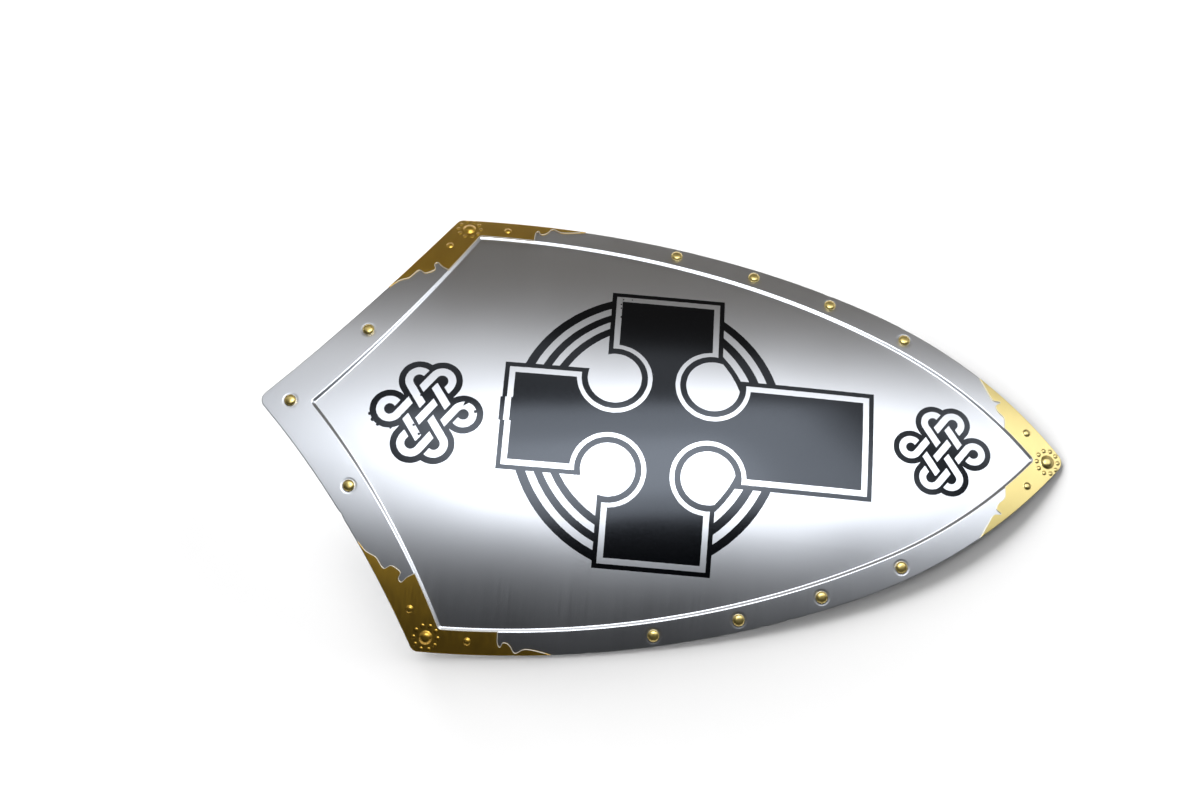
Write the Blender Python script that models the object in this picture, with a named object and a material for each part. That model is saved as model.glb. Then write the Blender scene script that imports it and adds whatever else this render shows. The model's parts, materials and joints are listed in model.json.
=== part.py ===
"""Decorative metal shield, lying face up on its rim.

A bowed steel plate has a raised border round a sunk field. Three thin brass plates lie on
the border at the two corners and at the tip, and eleven brass rivets stand along it.

The plate is drawn as a flat pattern first. A point of the pattern is a complex number: its
real part is the distance along the middle line from the top point towards the tip, and its
imaginary part is the distance across. The pattern is then bent over the bow. Metres, +Z up.
"""

import cmath
import math
from dataclasses import dataclass

import bmesh
import bpy
from mathutils import Matrix, Vector
from mathutils.geometry import delaunay_2d_cdt

# Bow of the plate
BOW_RADIUS = 0.484
LONG_BOW_RADIUS = 4.4
BOW_TOP = 0.330

# Sheet thicknesses and heights
STEEL_THICKNESS = 0.0012
BRASS_THICKNESS = 0.0006
BORDER_RISE = 0.0018
GAP = 0.0003

# Step between the field and the border: the rise at each distance out from its middle line
STEP_HALF_WIDTH = 0.0024
STEP_PROFILE = ((-1.0, 0.0), (-0.4, 0.18), (0.4, 0.82), (1.0, 1.0))

# Brass plates
BRASS_INNER = 0.0029
BRASS_INSET = 0.0006
TORN_SIDE_END = (
    (50.4, 2.9), (50.2, 10.0), (52.2, 13.9), (54.4, 10.3), (58.2, 10.6), (61.5, 13.8),
    (65.0, 19.0), (73.0, 15.8), (84.0, 17.7), (94.5, 21.2),
)
TORN_TOP_END = (
    (51.9, 2.9), (51.9, 8.1), (50.2, 14.2), (53.8, 14.9), (57.5, 11.3), (62.3, 12.6),
    (67.4, 16.3), (67.8, 22.6), (74.5, 23.8), (80.5, 24.6), (89.0, 29.7), (99.7, 32.0),
)
TORN_TIP_END = (
    (38.9, 2.9), (43.8, 7.3), (51.6, 8.1), (56.6, 11.2), (55.9, 16.6), (61.2, 13.4),
    (69.5, 16.4), (82.3, 22.6),
)

# Bosses pressed into the brass
DOME_RADIUS, DOME_HEIGHT = 0.0058, 0.0027
SMALL_BOSS_RADIUS, SMALL_BOSS_HEIGHT = 0.0034, 0.0016
DOT_RADIUS, DOT_HEIGHT = 0.0017, 0.0007
DOT_COUNT, DOT_CIRCLE = 10, 0.0104
BOSS_PROFILE = ((1.0, 0.0), (0.72, 0.55), (0.38, 0.88))
DOT_PROFILE = ((1.0, 0.0),)

# Places of the bosses, from the step's corner or tip: the domes by pattern coordinates, the
# small bosses by the distance along the step and out from it
CORNER_DOME, TIP_DOME = complex(-0.0109, 0.0080), complex(0.0127, 0.0)
CORNER_SIDE_BOSS, CORNER_TOP_BOSS = (0.0242, 0.0100), (0.0255, 0.0173)
TIP_SIDE_BOSS = (0.0215, 0.0125)

# Rivets
RIVET_HEAD_RADIUS, RIVET_HEAD_HEIGHT, RIVET_HEAD_RIM = 0.0053, 0.0031, 0.0004
RIVET_SHANK_RADIUS, RIVET_HOLE_RADIUS = 0.0020, 0.0023
RIVET_TAIL_RADIUS, RIVET_TAIL_HEIGHT = 0.0040, 0.0015
TOP_POINT_RIVET = 0.0256
TOP_EDGE_RIVET = (0.1475, 0.0154)
SIDE_RIVET_FIRST, SIDE_RIVET_PITCH, SIDE_RIVET_ACROSS = 0.182, 0.0733, 0.0127
SIDE_RIVETS = 4

# Facets
RING_SPACING = 0.017
FIELD_SPACING = 0.026
FIELD_CLEARANCE = 0.6 * FIELD_SPACING
TURNS, DOT_TURNS = 12, 6
SHARP_TURN, SHARP_TURN_STEPS = 0.6, 3
DOME_STEPS = 4


@dataclass
class Line:
    """A closed line of the pattern: two hollow top edges, and two sides of two arcs each."""

    apex: float
    corner: float
    widest: float
    half_width: float
    top_radius: float
    side_radii: tuple
    upper_turn: float
    roundings: tuple

    def __post_init__(self):
        upper, lower = self.side_radii
        self.upper_centre = complex(self.widest, self.half_width - upper)
        self.turn = math.radians(90 - self.upper_turn)
        self.lower_centre = self.upper_centre + cmath.rect(upper - lower, self.turn)
        drop = math.sqrt(upper**2 - (self.corner - self.widest) ** 2)
        self.corner_point = complex(self.corner, self.upper_centre.imag + drop)
        half_chord = (self.corner_point - self.apex) / 2
        rise = math.sqrt(self.top_radius**2 - abs(half_chord) ** 2)
        self.top_centre = self.apex + half_chord * (1 + 1j * rise / abs(half_chord))
        reach = math.sqrt(lower**2 - self.lower_centre.imag**2)
        self.tip_point = complex(self.lower_centre.real + reach, 0)

    def arcs(self, offset=0.0):
        """One half of the line, moved out by the offset, as (centre, radius, start, end)."""
        upper, lower = self.side_radii
        top_round, corner_round, tip_round = self.roundings
        at_top = on_middle_line(self.top_centre, self.top_radius + top_round)
        at_tip = on_middle_line(self.lower_centre, lower - tip_round)
        at_corner = where_circles_meet(
            self.top_centre, self.top_radius + corner_round, self.upper_centre, upper - corner_round
        )
        to_top = cmath.phase(at_top - self.top_centre)
        to_corner = cmath.phase(at_corner - self.top_centre)
        from_corner = cmath.phase(at_corner - self.upper_centre)
        to_tip = cmath.phase(at_tip - self.lower_centre)
        return (
            (at_top, top_round + offset, math.pi, to_top + math.pi),
            (self.top_centre, self.top_radius - offset, to_top, to_corner),
            (at_corner, corner_round + offset, to_corner + math.pi, from_corner),
            (self.upper_centre, upper + offset, from_corner, self.turn),
            (self.lower_centre, lower + offset, self.turn, to_tip),
            (at_tip, tip_round + offset, to_tip, 0.0),
        )

    def loop(self, offset=0.0, spacing=RING_SPACING):
        """The whole closed line, moved out by the offset, as a list of points."""
        half = []
        for centre, radius, start, end in self.arcs(offset):
            steps = max(1, math.ceil(abs(end - start) * radius / spacing))
            if abs(end - start) > SHARP_TURN:
                steps = max(steps, SHARP_TURN_STEPS)
            half += [
                centre + cmath.rect(radius, start + (end - start) * k / steps) for k in range(steps)
            ]
        tip = self.arcs(offset)[-1]
        tip_end = tip[0] + tip[1]
        return half + [tip_end] + [point.conjugate() for point in reversed(half[1:])]

    def side_point(self, along, out):
        """A point at a distance along the side from the corner, and out from the line."""
        upper, lower = self.side_radii
        angle = cmath.phase(self.corner_point - self.upper_centre) - along / upper
        if angle > self.turn:
            return self.upper_centre + cmath.rect(upper + out, angle)
        angle = self.turn - (self.turn - angle) * upper / lower
        return self.lower_centre + cmath.rect(lower + out, angle)

    def top_point(self, along, out):
        """A point at a distance along the top edge from the corner, and out from the line."""
        angle = cmath.phase(self.corner_point - self.top_centre) - along / self.top_radius
        return self.top_centre + cmath.rect(self.top_radius - out, angle)

    def tip_side_point(self, along, out):
        """A point at a distance along the side from the tip, and out from the line."""
        lower = self.side_radii[1]
        angle = cmath.phase(self.tip_point - self.lower_centre) + along / lower
        return self.lower_centre + cmath.rect(lower + out, angle)


def on_middle_line(centre, distance):
    """The point of the middle line, on the tip's side, at a distance from the centre."""
    return complex(centre.real + math.sqrt(distance**2 - centre.imag**2), 0)


def where_circles_meet(first, first_radius, second, second_radius):
    """The meeting point of two circles that lies nearer the corner."""
    between = second - first
    gap = abs(between)
    along = (gap**2 + first_radius**2 - second_radius**2) / (2 * gap)
    aside = math.sqrt(first_radius**2 - along**2)
    return first + between / gap * complex(along, aside)


OUTER = Line(
    apex=-0.0036,
    corner=0.1525,
    widest=0.1722,
    half_width=0.2117,
    top_radius=0.869,
    side_radii=(0.898, 0.471),
    upper_turn=23.7,
    roundings=(0.009, 0.008, 0.0107),
)
STEP = Line(
    apex=0.0448,
    corner=0.1744,
    widest=0.1744,
    half_width=0.1898,
    top_radius=0.776,
    side_radii=(0.837, 0.442),
    upper_turn=26.7,
    roundings=(0.003, 0.003, 0.003),
)


def bow_normal(point):
    """The direction square to the bowed plate at a point of the pattern."""
    slope = (point.real - BOW_TOP) / LONG_BOW_RADIUS
    angle = point.imag / BOW_RADIUS
    return Vector((slope, math.sin(angle), math.cos(angle))).normalized()


def bend(point, lift):
    """Where a point of the pattern comes to lie, lifted off the field's outer face."""
    angle = point.imag / BOW_RADIUS
    fall = (point.real - BOW_TOP) ** 2 / (2 * LONG_BOW_RADIUS)
    base = Vector(
        (point.real, BOW_RADIUS * math.sin(angle), BOW_RADIUS * (math.cos(angle) - 1) - fall)
    )
    return base + bow_normal(point) * lift


def circle(centre, radius, count, start=0.0):
    """Points evenly round a circle of the pattern."""
    return [centre + cmath.rect(radius, start + math.tau * k / count) for k in range(count)]


def is_inside(point, loops):
    """True if the point lies inside an odd number of the closed loops."""
    crossings = 0
    for loop in loops:
        for a, b in zip(loop, loop[1:] + loop[:1]):
            if (a.imag > point.imag) != (b.imag > point.imag):
                share = (point.imag - a.imag) / (b.imag - a.imag)
                crossings += a.real + share * (b.real - a.real) > point.real
    return crossings % 2 == 1


def grid_points(loop, spacing, clearance):
    """Staggered points inside the loop that keep a clearance from its points."""
    start = min(p.real for p in loop)
    row_height = spacing * math.sqrt(0.75)
    half_rows = math.ceil(max(p.imag for p in loop) / row_height)
    columns = math.ceil((max(p.real for p in loop) - start) / spacing)
    found = []
    for row in range(-half_rows, half_rows + 1):
        for column in range(columns + 1):
            along = start + (column + 0.5 * (row % 2)) * spacing
            point = complex(along, row * row_height)
            if is_inside(point, [loop]) and min(abs(point - e) for e in loop) > clearance:
                found.append(point)
    return found


def make_material(name, colour, roughness):
    material = bpy.data.materials.new(name)
    material.use_nodes = True
    shader = material.node_tree.nodes["Principled BSDF"]
    shader.inputs["Base Color"].default_value = (*colour, 1.0)
    shader.inputs["Metallic"].default_value = 1.0
    shader.inputs["Roughness"].default_value = roughness
    return material


def add_object(name, mesh, material, parent):
    mesh.materials.append(material)
    piece = bpy.data.objects.new(name, mesh)
    bpy.context.scene.collection.objects.link(piece)
    piece.parent = parent
    return piece


def bent_sheet(name, boundary, rings, points, thickness, material, parent):
    """A sheet cut to the boundary loops of the pattern and bent over the bow.

    boundary and rings are lists of closed loops, and each of their points, like each of
    points, is a pair of a pattern point and its lift. The sheet's thickness lies below.
    """
    laid, edges = [], []
    for loop in boundary + rings:
        first = len(laid)
        edges += [(first + k, first + (k + 1) % len(loop)) for k in range(len(loop))]
        laid += loop
    laid += points
    flat = [Vector((point.real, point.imag)) for point, _ in laid]
    corners, _, faces, sources, _, _ = delaunay_2d_cdt(flat, edges, [], 0, 1e-7)
    outlines = [[point for point, _ in loop] for loop in boundary]
    shape = bmesh.new()
    vertices = []
    for corner, source in zip(corners, sources):
        lift = laid[source[0]][1]
        vertices.append(shape.verts.new(bend(complex(corner.x, corner.y), lift)))
    for face in faces:
        middle = sum((complex(*corners[k]) for k in face), 0j) / len(face)
        if is_inside(middle, outlines):
            a, b, c = (corners[k] for k in face)
            turns_left = (b - a).cross(c - a) > 0
            ring = face if turns_left else tuple(reversed(face))
            shape.faces.new([vertices[k] for k in ring])
    loose = [v for v in shape.verts if not v.link_faces]
    bmesh.ops.delete(shape, geom=loose, context="VERTS")
    mesh = bpy.data.meshes.new(name)
    shape.to_mesh(mesh)
    shape.free()
    piece = add_object(name, mesh, material, parent)
    solid = piece.modifiers.new("sheet thickness", "SOLIDIFY")
    solid.thickness = thickness
    solid.offset = -1.0
    return piece


def lifted(loop, lift):
    return [(point, lift) for point in loop]


def make_plate(rivet_points, material, parent):
    """The steel plate: flat pattern, raised border with its step, and rivet holes."""
    outline = lifted(OUTER.loop(), BORDER_RISE)
    holes = [lifted(circle(p, RIVET_HOLE_RADIUS, TURNS), BORDER_RISE) for p in rivet_points]
    steps = [
        lifted(STEP.loop(where * STEP_HALF_WIDTH), share * BORDER_RISE)
        for where, share in STEP_PROFILE
    ]
    foot = [point for point, _ in steps[0]]
    field = lifted(grid_points(foot, FIELD_SPACING, FIELD_CLEARANCE), 0.0)
    return bent_sheet(
        "shield_plate", [outline] + holes, steps, field, STEEL_THICKNESS, material, parent
    )


def stretch(loop, start, end):
    """The loop's points from the one nearest the start up to the one nearest the end."""
    first = min(range(len(loop)), key=lambda k: abs(loop[k] - start))
    last = min(range(len(loop)), key=lambda k: abs(loop[k] - end))
    if last < first:
        last += len(loop)
    return [loop[k % len(loop)] for k in range(first, last + 1)]


def torn_end(place, points):
    """The points of a torn end, placed from millimetres along and out from the step."""
    return [place(along * 0.001, out * 0.001) for along, out in points]


def brass_outline(from_end, to_end):
    """The closed outline of a brass plate, between two torn ends that run inside to outside.

    The inner line follows the step and the outer line follows the plate's edge.
    """
    inner_loop = STEP.loop(BRASS_INNER)
    outer_loop = OUTER.loop(-BRASS_INSET)
    inner = stretch(inner_loop, from_end[0], to_end[0])[1:-1]
    outer = stretch(outer_loop, from_end[-1], to_end[-1])
    return inner + to_end + outer[::-1] + from_end[::-1]


def boss_points(centre, radius, height, profile=BOSS_PROFILE, turns=TURNS):
    """Rings of lifted points that shape one pressed boss."""
    found = [(centre, height)]
    for share, lift in profile:
        found += [(point, lift * height) for point in circle(centre, share * radius, turns)]
    return found


def make_brass_plate(name, outline, dome, bosses, material, parent):
    """A thin brass plate with its dome, the ring of dots round it and its small bosses."""
    level = BORDER_RISE + GAP + BRASS_THICKNESS
    raised = boss_points(dome, DOME_RADIUS, DOME_HEIGHT)
    room_round_dot = circle(0, 1.2 * DOT_RADIUS, DOT_TURNS)
    for dot in circle(dome, DOT_CIRCLE, DOT_COUNT):
        if all(is_inside(dot + edge, [outline]) for edge in room_round_dot):
            raised += boss_points(dot, DOT_RADIUS, DOT_HEIGHT, DOT_PROFILE, DOT_TURNS)
    for boss in bosses:
        raised += boss_points(boss, SMALL_BOSS_RADIUS, SMALL_BOSS_HEIGHT)
    points = [(point, level + height) for point, height in raised]
    return bent_sheet(
        name, [lifted(outline, level)], [], points, BRASS_THICKNESS, material, parent
    )


def rivet_mesh():
    """One rivet, turned about Z, with the underside of its head at the origin."""
    profile = [(0.0, RIVET_HEAD_HEIGHT)]
    for k in range(1, DOME_STEPS + 1):
        angle = math.pi / 2 * k / DOME_STEPS
        fall = (RIVET_HEAD_HEIGHT - RIVET_HEAD_RIM) * math.cos(angle)
        profile.append((RIVET_HEAD_RADIUS * math.sin(angle), RIVET_HEAD_RIM + fall))
    tail_top = -(STEEL_THICKNESS + 2 * GAP)
    tail_end = tail_top - RIVET_TAIL_HEIGHT
    profile += [
        (RIVET_HEAD_RADIUS, 0.0),
        (RIVET_SHANK_RADIUS, 0.0),
        (RIVET_SHANK_RADIUS, tail_top),
        (RIVET_TAIL_RADIUS, tail_top),
        (RIVET_TAIL_RADIUS, tail_end),
        (0.0, tail_end),
    ]
    shape = bmesh.new()
    line = [shape.verts.new((radius, 0.0, height)) for radius, height in profile]
    edges = [shape.edges.new(pair) for pair in zip(line, line[1:])]
    bmesh.ops.spin(
        shape, geom=line + edges, cent=(0, 0, 0), axis=(0, 0, 1), angle=math.tau, steps=TURNS,
        use_merge=True,
    )
    bmesh.ops.remove_doubles(shape, verts=shape.verts, dist=1e-6)
    bmesh.ops.recalc_face_normals(shape, faces=shape.faces)
    mesh = bpy.data.meshes.new("rivet")
    shape.to_mesh(mesh)
    shape.free()
    return mesh


def rivet_places():
    """Each rivet's name and its point of the pattern. Left is the side at +Y."""
    places = {"rivet_top_point": complex(TOP_POINT_RIVET, 0)}
    half = {"rivet_top_edge": STEP.top_point(*TOP_EDGE_RIVET)}
    for k in range(SIDE_RIVETS):
        along = SIDE_RIVET_FIRST + k * SIDE_RIVET_PITCH
        half[f"rivet_side_{k + 1}"] = STEP.side_point(along, SIDE_RIVET_ACROSS)
    for name, point in half.items():
        places[name + "_left"] = point
        places[name + "_right"] = point.conjugate()
    return places


def add_rivets(places, material, parent):
    mesh = rivet_mesh()
    mesh.materials.append(material)
    for name, point in places.items():
        rivet = bpy.data.objects.new(name, mesh)
        bpy.context.scene.collection.objects.link(rivet)
        rivet.parent = parent
        turn = Vector((0, 0, 1)).rotation_difference(bow_normal(point)).to_matrix().to_4x4()
        rivet.matrix_local = Matrix.Translation(bend(point, BORDER_RISE + GAP)) @ turn


def add_brass_plates(material, parent):
    side_end = torn_end(STEP.side_point, TORN_SIDE_END)
    top_end = torn_end(STEP.top_point, TORN_TOP_END)
    outline = brass_outline(top_end, side_end)
    dome = STEP.corner_point + CORNER_DOME
    bosses = (STEP.side_point(*CORNER_SIDE_BOSS), STEP.top_point(*CORNER_TOP_BOSS))
    make_brass_plate("corner_plate_left", outline, dome, bosses, material, parent)
    mirrored = [point.conjugate() for point in reversed(outline)]
    mirrored_bosses = [point.conjugate() for point in bosses]
    make_brass_plate(
        "corner_plate_right", mirrored, dome.conjugate(), mirrored_bosses, material, parent
    )
    tip_end = torn_end(STEP.tip_side_point, TORN_TIP_END)
    far_end = [point.conjugate() for point in tip_end]
    outline = brass_outline(tip_end, far_end)
    boss = STEP.tip_side_point(*TIP_SIDE_BOSS)
    dome = STEP.tip_point + TIP_DOME
    make_brass_plate("tip_plate", outline, dome, (boss, boss.conjugate()), material, parent)


def balance_point(piece):
    """How far along the plate its centre of area lies."""
    faces = piece.data.polygons
    return sum(f.area * f.center.x for f in faces) / sum(f.area for f in faces)


def rest_pitch(piece):
    """The pitch at which the rim's lowest places on both sides of the balance are level."""
    rim = [bend(point, BORDER_RISE - STEEL_THICKNESS) for point in OUTER.loop()]
    balance = balance_point(piece)
    low, high = math.radians(-15), math.radians(15)
    for _ in range(40):
        pitch = (low + high) / 2
        turned = [(p.x, p.z * math.cos(pitch) - p.x * math.sin(pitch)) for p in rim]
        before = min(z for x, z in turned if x < balance)
        after = min(z for x, z in turned if x >= balance)
        low, high = (low, pitch) if after < before else (pitch, high)
    return pitch


def stand_on_origin(frame, plate):
    """Turns the frame so that the plate lies on its rim, with the origin under its middle."""
    frame.rotation_euler = (0.0, rest_pitch(plate), 0.0)
    bpy.context.view_layer.update()
    graph = bpy.context.evaluated_depsgraph_get()
    corners = []
    for piece in frame.children:
        seen = piece.evaluated_get(graph)
        corners += [seen.matrix_world @ vertex.co for vertex in seen.data.vertices]
    low = Vector([min(c[k] for c in corners) for k in range(3)])
    high = Vector([max(c[k] for c in corners) for k in range(3)])
    frame.location = -Vector(((low.x + high.x) / 2, (low.y + high.y) / 2, low.z))


def build():
    for old in list(bpy.data.objects):
        bpy.data.objects.remove(old)
    steel = make_material("brushed_steel", (0.60, 0.60, 0.61), 0.30)
    brass = make_material("brass", (0.78, 0.58, 0.24), 0.28)
    frame = bpy.data.objects.new("shield", None)
    bpy.context.scene.collection.objects.link(frame)
    places = rivet_places()
    plate = make_plate(places.values(), steel, frame)
    add_brass_plates(brass, frame)
    add_rivets(places, brass, frame)
    stand_on_origin(frame, plate)


build()
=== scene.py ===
"""Looks of the decorative metal shield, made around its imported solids.

The shield is drawn as a flat pattern, as its sheet is cut, and bent over the bow. A point of
the pattern is a complex number: its real part is the distance along the middle line from the
top point towards the tip, and its imaginary part is the distance across, both in metres.

The black print is part of the plate's mesh. Its outlines are edges there, and the faces
between them have the ink's material, so that the print stays sharp at any distance.
"""

import cmath
import json
import math

import bpy
import numpy as np
from mathutils import Matrix, Vector
from mathutils.geometry import delaunay_2d_cdt
from mathutils.kdtree import KDTree

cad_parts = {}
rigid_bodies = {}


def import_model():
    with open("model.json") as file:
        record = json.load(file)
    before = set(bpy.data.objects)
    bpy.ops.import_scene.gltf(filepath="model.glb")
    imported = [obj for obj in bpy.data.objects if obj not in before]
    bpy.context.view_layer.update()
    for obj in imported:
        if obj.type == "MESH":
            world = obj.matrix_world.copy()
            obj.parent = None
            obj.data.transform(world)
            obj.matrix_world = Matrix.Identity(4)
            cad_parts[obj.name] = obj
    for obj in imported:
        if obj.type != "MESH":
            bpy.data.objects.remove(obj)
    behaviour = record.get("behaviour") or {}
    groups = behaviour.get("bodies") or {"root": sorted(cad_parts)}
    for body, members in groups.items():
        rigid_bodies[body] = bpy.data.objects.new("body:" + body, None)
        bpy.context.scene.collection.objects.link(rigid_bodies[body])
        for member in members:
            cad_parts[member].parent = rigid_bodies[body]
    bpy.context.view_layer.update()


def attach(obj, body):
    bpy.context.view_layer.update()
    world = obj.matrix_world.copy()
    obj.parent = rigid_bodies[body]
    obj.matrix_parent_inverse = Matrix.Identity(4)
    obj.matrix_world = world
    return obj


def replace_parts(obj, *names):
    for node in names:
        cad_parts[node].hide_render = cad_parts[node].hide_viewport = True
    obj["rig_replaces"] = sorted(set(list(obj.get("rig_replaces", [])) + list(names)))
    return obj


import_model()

# Bow of the plate, and how the shield rests, as the solids have them
BOW_RADIUS = 0.484
LONG_BOW_RADIUS = 4.4
BOW_TOP = 0.330
REST_PITCH = math.radians(3.611611)
REST_PLACE = (-0.352369, 0.0, 0.060162)

# Sheet thicknesses, the border's rise, the gap between pieces, and half the step's width
STEEL_THICKNESS = 0.0012
BRASS_THICKNESS = 0.0006
BORDER_RISE = 0.0018
GAP = 0.0003
STEP_HALF_WIDTH = 0.0018

# Rounded edges of the sheets: how wide they are and how far the face falls there
STEEL_ROUNDING, STEEL_EDGE_FALL = 0.0010, 0.0004
BRASS_ROUNDING, BRASS_EDGE_FALL = 0.0005, 0.0003

# The brass plates' edges have a painted highlight, a pale colour, this far in,
# but not this near the shield's rim
HIGHLIGHT_REACH, HIGHLIGHT_FREE_RIM = 0.0005, 0.002

# Slow unevenness of the sheet: its depth, its wavelength and how far from the rim it is full
UNEVEN_DEPTH, UNEVEN_WAVE, UNEVEN_MARGIN = 0.00016, 0.17, 0.03

# How far out from the step's middle the brass plates begin, and how far inside the rim they end
BRASS_INNER, BRASS_INSET = 0.0005, 0.0006

# Their torn ends, in millimetres along the step and out from it
MILLIMETRE = 0.001
TORN_SIDE_END = (
    (50.4, 0.5), (50.2, 10.0), (52.2, 13.9), (54.4, 10.3), (58.2, 10.6), (61.5, 13.8),
    (65.0, 19.0), (73.0, 15.8), (84.0, 17.7), (94.5, 21.2),
)
TORN_TOP_END = (
    (51.9, 0.5), (51.9, 8.1), (50.2, 14.2), (53.8, 14.9), (57.5, 11.3), (62.3, 12.6),
    (67.4, 16.3), (67.8, 22.6), (74.5, 23.8), (80.5, 24.6), (89.0, 29.7), (99.7, 32.0),
)
TORN_TIP_END = (
    (37.3, 0.5), (43.8, 7.3), (51.6, 8.1), (56.6, 11.2), (55.9, 16.6), (61.2, 13.4),
    (69.5, 16.4), (82.3, 22.6),
)

# Bosses pressed into the brass: radius and height, how flat their tops and how soft their feet are
DOME = (0.0060, 0.0023)
SMALL_BOSS = (0.0034, 0.0011)
CORNER_DOT, TIP_DOT = (0.0020, 0.0004), (0.0020, 0.0007)
BOSS_FLATNESS, BOSS_FOOT = 3.6, 1.5

# Places of the domes, in the pattern's directions from the step's corner and tip
CORNER_DOME, TIP_DOME = complex(-0.0112, 0.0088), complex(0.0124, -0.0008)

# Places of the small bosses, along the step from its corner or tip and out from it
CORNER_SIDE_BOSS, CORNER_TOP_BOSS = (0.0242, 0.0100), (0.0255, 0.0173)
TIP_SIDE_BOSS = (0.0215, 0.0125)

# The ring of dots round a dome: how many, and the ring's half widths along and across
DOT_COUNT = 10
CORNER_RING, TIP_RING = (0.0104, 0.0104), (0.0094, 0.0106)

# Rivets: their sizes, and their places on the middle line or along the step and out from it
RIVET_HEAD_RADIUS, RIVET_HEAD_HEIGHT, RIVET_HEAD_RIM = 0.0053, 0.0031, 0.0004
RIVET_SHANK_RADIUS, RIVET_HOLE_RADIUS = 0.0020, 0.0023
RIVET_TAIL_RADIUS, RIVET_TAIL_HEIGHT = 0.0040, 0.0015
RIVET_FLATNESS, RIVET_BEVEL, RIVET_SHARP = 2.6, 0.0003, math.radians(40)
TOP_POINT_RIVET = 0.0256
TOP_EDGE_RIVET = (0.1475, 0.0154)
SIDE_RIVET_FIRST, SIDE_RIVET_PITCH, SIDE_RIVET_ACROSS = 0.182, 0.0733, 0.0127
SIDE_RIVETS = 4

# Dips that the rivets have pulled in the steel: full up to a radius, then fading over a width
SEAT_RADIUS, SEAT_WIDTH, SEAT_DEPTH = 0.0060, 0.0016, 0.00018

# Nicks in the steel's edge: place, half width and depth
NICKS = (
    (complex(0.4986, 0.1502), 0.0024, 0.0008),
    (complex(0.3030, -0.2021), 0.0020, 0.0006),
    (complex(0.4741, -0.1594), 0.0028, 0.0007),
    (complex(0.0812, -0.0981), 0.0026, 0.0009),
)

# The printed cross: its arms, the discs cut in its corners and the insets of its three lines
CROSS_CENTRE = complex(0.3517, -0.0003)
CROSS_ALONG = cmath.rect(1, -0.008)
CROSS_ACROSS = cmath.rect(1, math.pi / 2 - 0.004)
ARM_LEFT, ARM_RIGHT, ARM_UP, ARM_DOWN = 0.1409, 0.1869, 0.1326, 0.1287
LONG_ARM_HALF, CROSS_ARM_HALF = 0.0498, 0.0510
DISC_OFFSET = complex(0.0437, 0.0427)
DISC_RADIUS = 0.0241
OUTLINE_INSETS, DISC_RINGS = (-0.0002, 0.0040, 0.0092), (-0.0002, 0.0053, 0.0093)

# The printed rings behind it: on each side their centre, and each band's two radii
LEFT_RINGS = (complex(0.3513, 0.0001), ((0.1247, 0.1328), (0.1114, 0.1182), (0.0985, 0.1053)))
RIGHT_RINGS = (complex(0.3264, 0.0001), ((0.1264, 0.1340), (0.1121, 0.1198), (0.1006, 0.1055)))

# How far the rings run in behind the arms
RING_OVERLAP = 0.001

# The printed knots: middle, and the distance between its lines. The other sizes count in that.
KNOTS = ((complex(0.1458, -0.0020), 0.0179), (complex(0.6004, 0.0009), 0.0155))
KNOT_RISE, KNOT_FALL = math.radians(53.2), math.radians(55.2)
END_ON_RISE, END_ON_FALL = 1.678, 1.635
END_LOOP, SIDE_LOOP = 0.5, 0.47
RIBBON_HALF, RIBBON_GAP, KNOT_REACH = 0.194, 0.175, 0.519
CROSSING_HALF, KNOT_EXTENT = 0.46, 3.5

# The print's faults: part of the left arm's end has slipped, and blots, as place and radius
SLIP, SLIP_END, SLIP_LOW, SLIP_HIGH = 0.0014, 0.226, -0.005, 0.017
BLOTS = (
    (complex(0.0966, -0.0071), 0.0017),
    (complex(0.0996, -0.0124), 0.0018),
    (complex(0.1044, -0.0167), 0.0015),
    (complex(0.1160, -0.0190), 0.0012),
    (complex(0.1800, 0.0090), 0.0020),
    (complex(0.1886, 0.0008), 0.0015),
    (complex(0.1350, 0.0229), 0.0015),
    (complex(0.1397, 0.0130), 0.0012),
    (complex(0.1360, -0.0151), 0.0012),
    (complex(0.1414, -0.0230), 0.0013),
    (complex(0.3094, 0.1203), 0.0008),
    (complex(0.3096, 0.1160), 0.0007),
    (complex(0.3104, 0.1062), 0.0011),
    (complex(0.3110, 0.1258), 0.0007),
    (complex(0.3190, 0.1262), 0.0006),
    (complex(0.4222, 0.0616), 0.0010),
)

# The print's edges waver by this much over this wavelength
PRINT_WOBBLE, PRINT_WAVE = 0.0001, 0.009

# Spacing of mesh points
OUTLINE_SPACING = 0.0025
GRID_SPACING = 0.006
BACK_SPACING = 0.012
PRINT_SPACING = 0.0012
BRASS_SPACING = 0.0028
BRASS_EDGE_SPACING = 0.001

# Grid points keep this share of their spacing from lines, and bosses' points this from the edge
GRID_CLEARANCE, BRASS_CLEARANCE = 0.4, 0.45
BOSS_CLEARANCE = 0.00075

# Lines laid along the step and the edges, as shares of the step's half width and the rounding's
STEP_LINES = np.linspace(-1, 1, 10)
EDGE_LINES = (0.06, 0.25, 0.55, 1)

# Rings laid on a boss, as shares of its radius, and round a rivet, as radii
BOSS_RINGS = np.linspace(0.15, 1.1, 7)
SEAT_RINGS = np.linspace(SEAT_RADIUS - 0.001, SEAT_RADIUS + SEAT_WIDTH, 5)

# Points round a hole, a seat, a boss, a blot, a rivet, and a dot that is tested for room
HOLE_TURNS, SEAT_TURNS, BOSS_TURNS, BLOT_TURNS, RIVET_TURNS, ROOM_TURNS = 24, 32, 24, 10, 40, 6

# Steps up a rivet's dome, between two points of a torn end and along the slip's edges
RIVET_DOME_STEPS, TORN_STEPS, SLIP_STEPS = 14, 5, 20

# The largest turn between two points of an arc
LARGEST_TURN = 0.15

# Points of a knot, in line distances: along its loops, along its lines and over a crossing
KNOT_ARC_SPACING, KNOT_LINE_SPACING = 0.07, 0.3
CROSSING_POINTS = np.linspace(-0.5, 0.5, 5)

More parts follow.
